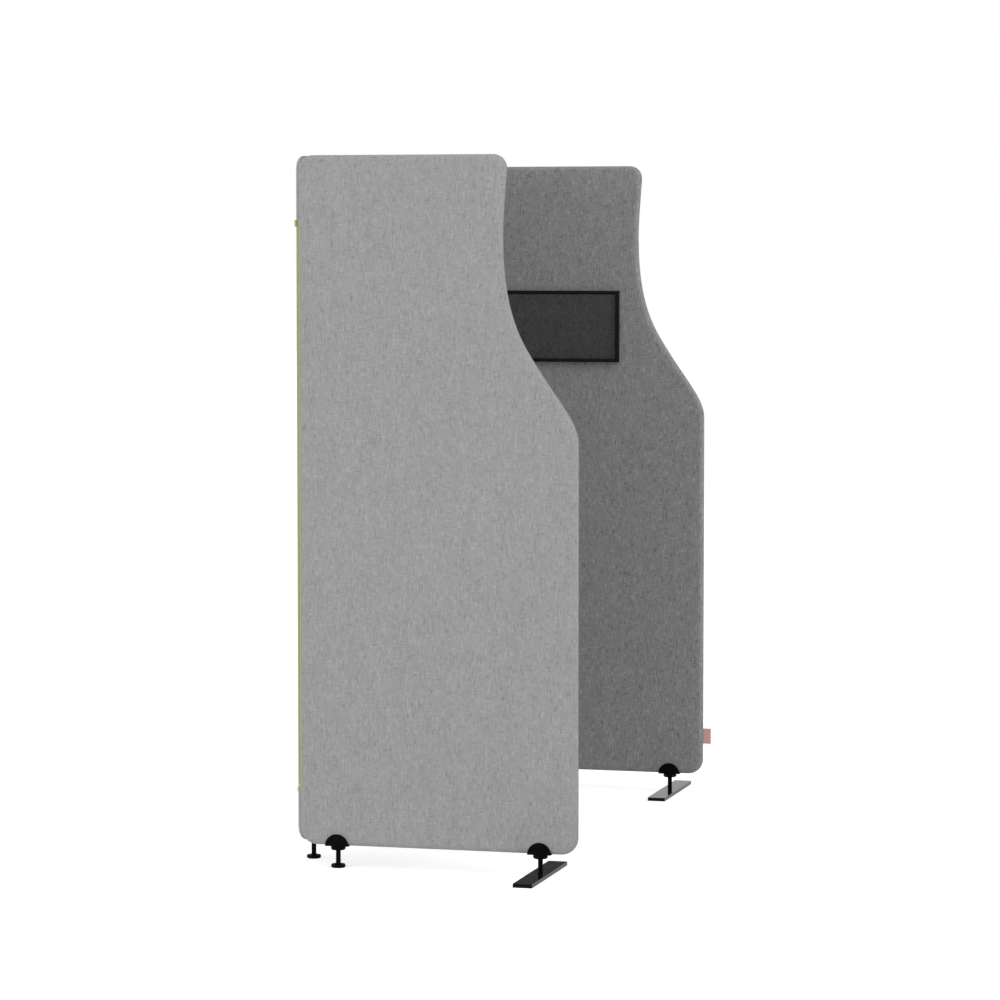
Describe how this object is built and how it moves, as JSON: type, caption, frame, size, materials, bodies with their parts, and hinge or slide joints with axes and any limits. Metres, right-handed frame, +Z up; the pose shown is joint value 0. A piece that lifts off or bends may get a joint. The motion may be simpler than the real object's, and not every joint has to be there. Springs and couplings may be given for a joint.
{
  "type": "acoustic divider screen",
  "caption": "Free-standing three-sided acoustic nook of fabric panels with wave-cut side edges, zip hinges, clamp feet, levelling glides, flat stabiliser bars and a mesh pocket.",
  "frame": {"origin": "on the floor, under the middle of the bounding box", "axes": "+X along the back panels from the left side panel to the right one, +Y from the open side of the nook towards the back panels, +Z up"},
  "size_m": [1.733, 0.7213, 1.68],
  "materials": {
    "cover_fabric": "grey heather weave",
    "frame_wood": "sawn plywood",
    "felt_core": "pressed felt",
    "zip_tape": "woven tape",
    "zip_metal": "satin lacquer in the tape's green",
    "jaw_plastic": "fine grained black",
    "glide_plastic": "black",
    "stem_steel": "black",
    "bar_steel": "powder coated black",
    "fastener_steel": "zinc plated",
    "pocket_mesh": "fine open mesh",
    "pocket_fabric": "black binding tape",
    "tab_fabric": "folded woven tab"
  },
  "bodies": {
    "back_left_panel": {"back_left_cover": "cover_fabric", "back_left_frame": "frame_wood", "back_left_core": "felt_core", "back_left_corner_zip_tape": "zip_tape", "back_left_middle_zip_tape": "zip_tape", "back_left_outer_jaws": "jaw_plastic", "back_left_inner_jaws": "jaw_plastic", "back_left_jaw_fasteners": "fastener_steel"},
    "back_right_panel": {"back_right_cover": "cover_fabric", "back_right_frame": "frame_wood", "back_right_core": "felt_core", "back_right_corner_zip_tape": "zip_tape", "back_right_middle_zip_tape": "zip_tape", "back_right_outer_jaws": "jaw_plastic", "back_right_inner_jaws": "jaw_plastic", "back_right_jaw_fasteners": "fastener_steel"},
    "left_side_panel": {"left_side_cover": "cover_fabric", "left_side_frame": "frame_wood", "left_side_core": "felt_core", "left_side_zip_tape": "zip_tape", "left_side_outer_jaws": "jaw_plastic", "left_side_inner_jaws": "jaw_plastic", "left_side_jaw_fasteners": "fastener_steel"},
    "right_side_panel": {"right_side_cover": "cover_fabric", "right_side_frame": "frame_wood", "right_side_core": "felt_core", "right_side_zip_tape": "zip_tape", "right_side_outer_jaws": "jaw_plastic", "right_side_inner_jaws": "jaw_plastic", "right_side_jaw_fasteners": "fastener_steel", "pocket_gusset": "pocket_fabric", "pocket_mesh": "pocket_mesh", "pocket_binding": "pocket_fabric", "fabric_tab": "tab_fabric"},
    "left_side_glide": {"left_side_glide_pad": "glide_plastic", "left_side_glide_stud": "stem_steel"},
    "back_left_corner_glide": {"back_left_corner_glide_pad": "glide_plastic", "back_left_corner_glide_stud": "stem_steel"},
    "back_left_middle_glide": {"back_left_middle_glide_pad": "glide_plastic", "back_left_middle_glide_stud": "stem_steel"},
    "back_right_middle_glide": {"back_right_middle_glide_pad": "glide_plastic", "back_right_middle_glide_stud": "stem_steel"},
    "back_right_corner_glide": {"back_right_corner_glide_pad": "glide_plastic", "back_right_corner_glide_stud": "stem_steel"},
    "right_side_glide": {"right_side_glide_pad": "glide_plastic", "right_side_glide_stud": "stem_steel"},
    "left_bar_foot": {"left_bar": "bar_steel", "left_bar_stem": "stem_steel", "left_bar_screw": "fastener_steel"},
    "right_bar_foot": {"right_bar": "bar_steel", "right_bar_stem": "stem_steel", "right_bar_screw": "fastener_steel"},
    "left_corner_slider": {"left_corner_zip_slider": "zip_metal"},
    "left_corner_pull": {"left_corner_zip_pull": "zip_metal"},
    "middle_slider": {"middle_zip_slider": "zip_metal"},
    "middle_pull": {"middle_zip_pull": "zip_metal"},
    "right_corner_slider": {"right_corner_zip_slider": "zip_metal"},
    "right_corner_pull": {"right_corner_zip_pull": "zip_metal"}
  },
  "joints": [
    {"name": "left_corner_hinge", "type": "hinge", "parent": "back_left_panel", "child": "left_side_panel", "pos_m": [-0.6985, 0.34355, 0.8], "axis": [0, 0, -1], "range_deg": [0, 90]},
    {"name": "middle_hinge", "type": "hinge", "parent": "back_left_panel", "child": "back_right_panel", "pos_m": [0, 0.34355, 0.8], "axis": [0, 0, 1], "range_deg": [-45, 45]},
    {"name": "right_corner_hinge", "type": "hinge", "parent": "back_right_panel", "child": "right_side_panel", "pos_m": [0.6985, 0.34355, 0.8], "axis": [0, 0, 1], "range_deg": [0, 90]},
    {"name": "left_side_levelling", "type": "slide", "parent": "left_side_panel", "child": "left_side_glide", "axis": [0, 0, 1], "range_m": [-0.004, 0]},
    {"name": "back_left_corner_levelling", "type": "slide", "parent": "back_left_panel", "child": "back_left_corner_glide", "axis": [0, 0, 1], "range_m": [-0.004, 0]},
    {"name": "back_left_middle_levelling", "type": "slide", "parent": "back_left_panel", "child": "back_left_middle_glide", "axis": [0, 0, 1], "range_m": [-0.004, 0]},
    {"name": "back_right_middle_levelling", "type": "slide", "parent": "back_right_panel", "child": "back_right_middle_glide", "axis": [0, 0, 1], "range_m": [-0.004, 0]},
    {"name": "back_right_corner_levelling", "type": "slide", "parent": "back_right_panel", "child": "back_right_corner_glide", "axis": [0, 0, 1], "range_m": [-0.004, 0]},
    {"name": "right_side_levelling", "type": "slide", "parent": "right_side_panel", "child": "right_side_glide", "axis": [0, 0, 1], "range_m": [-0.004, 0]},
    {"name": "left_bar_turn", "type": "hinge", "parent": "left_side_panel", "child": "left_bar_foot", "pos_m": [-0.6985, -0.24845, 0.03], "axis": [0, 0, 1], "range_deg": [-90, 90]},
    {"name": "right_bar_turn", "type": "hinge", "parent": "right_side_panel", "child": "right_bar_foot", "pos_m": [0.6985, -0.24845, 0.03], "axis": [0, 0, 1], "range_deg": [-90, 90]},
    {"name": "left_corner_zip_travel", "type": "slide", "parent": "back_left_panel", "child": "left_corner_slider", "axis": [0, 0, 1], "range_m": [-1.315, 0]},
    {"name": "left_corner_pull_swing", "type": "hinge", "parent": "left_corner_slider", "child": "left_corner_pull", "pos_m": [-0.69211, 0.33908, 1.5207], "axis": [-0.5736, -0.8192, 0], "range_deg": [0, 150]},
    {"name": "middle_zip_travel", "type": "slide", "parent": "back_left_panel", "child": "middle_slider", "axis": [0, 0, 1], "range_m": [-1.315, 0]},
    {"name": "middle_pull_swing", "type": "hinge", "parent": "middle_slider", "child": "middle_pull", "pos_m": [0, 0.33575, 1.5207], "axis": [-1, 0, 0], "range_deg": [0, 150]},
    {"name": "right_corner_zip_travel", "type": "slide", "parent": "back_right_panel", "child": "right_corner_slider", "axis": [0, 0, 1], "range_m": [-1.315, 0]},
    {"name": "right_corner_pull_swing", "type": "hinge", "parent": "right_corner_slider", "child": "right_corner_pull", "pos_m": [0.69211, 0.33908, 1.5207], "axis": [-0.5736, 0.8192, 0], "range_deg": [0, 150]}
  ]
}
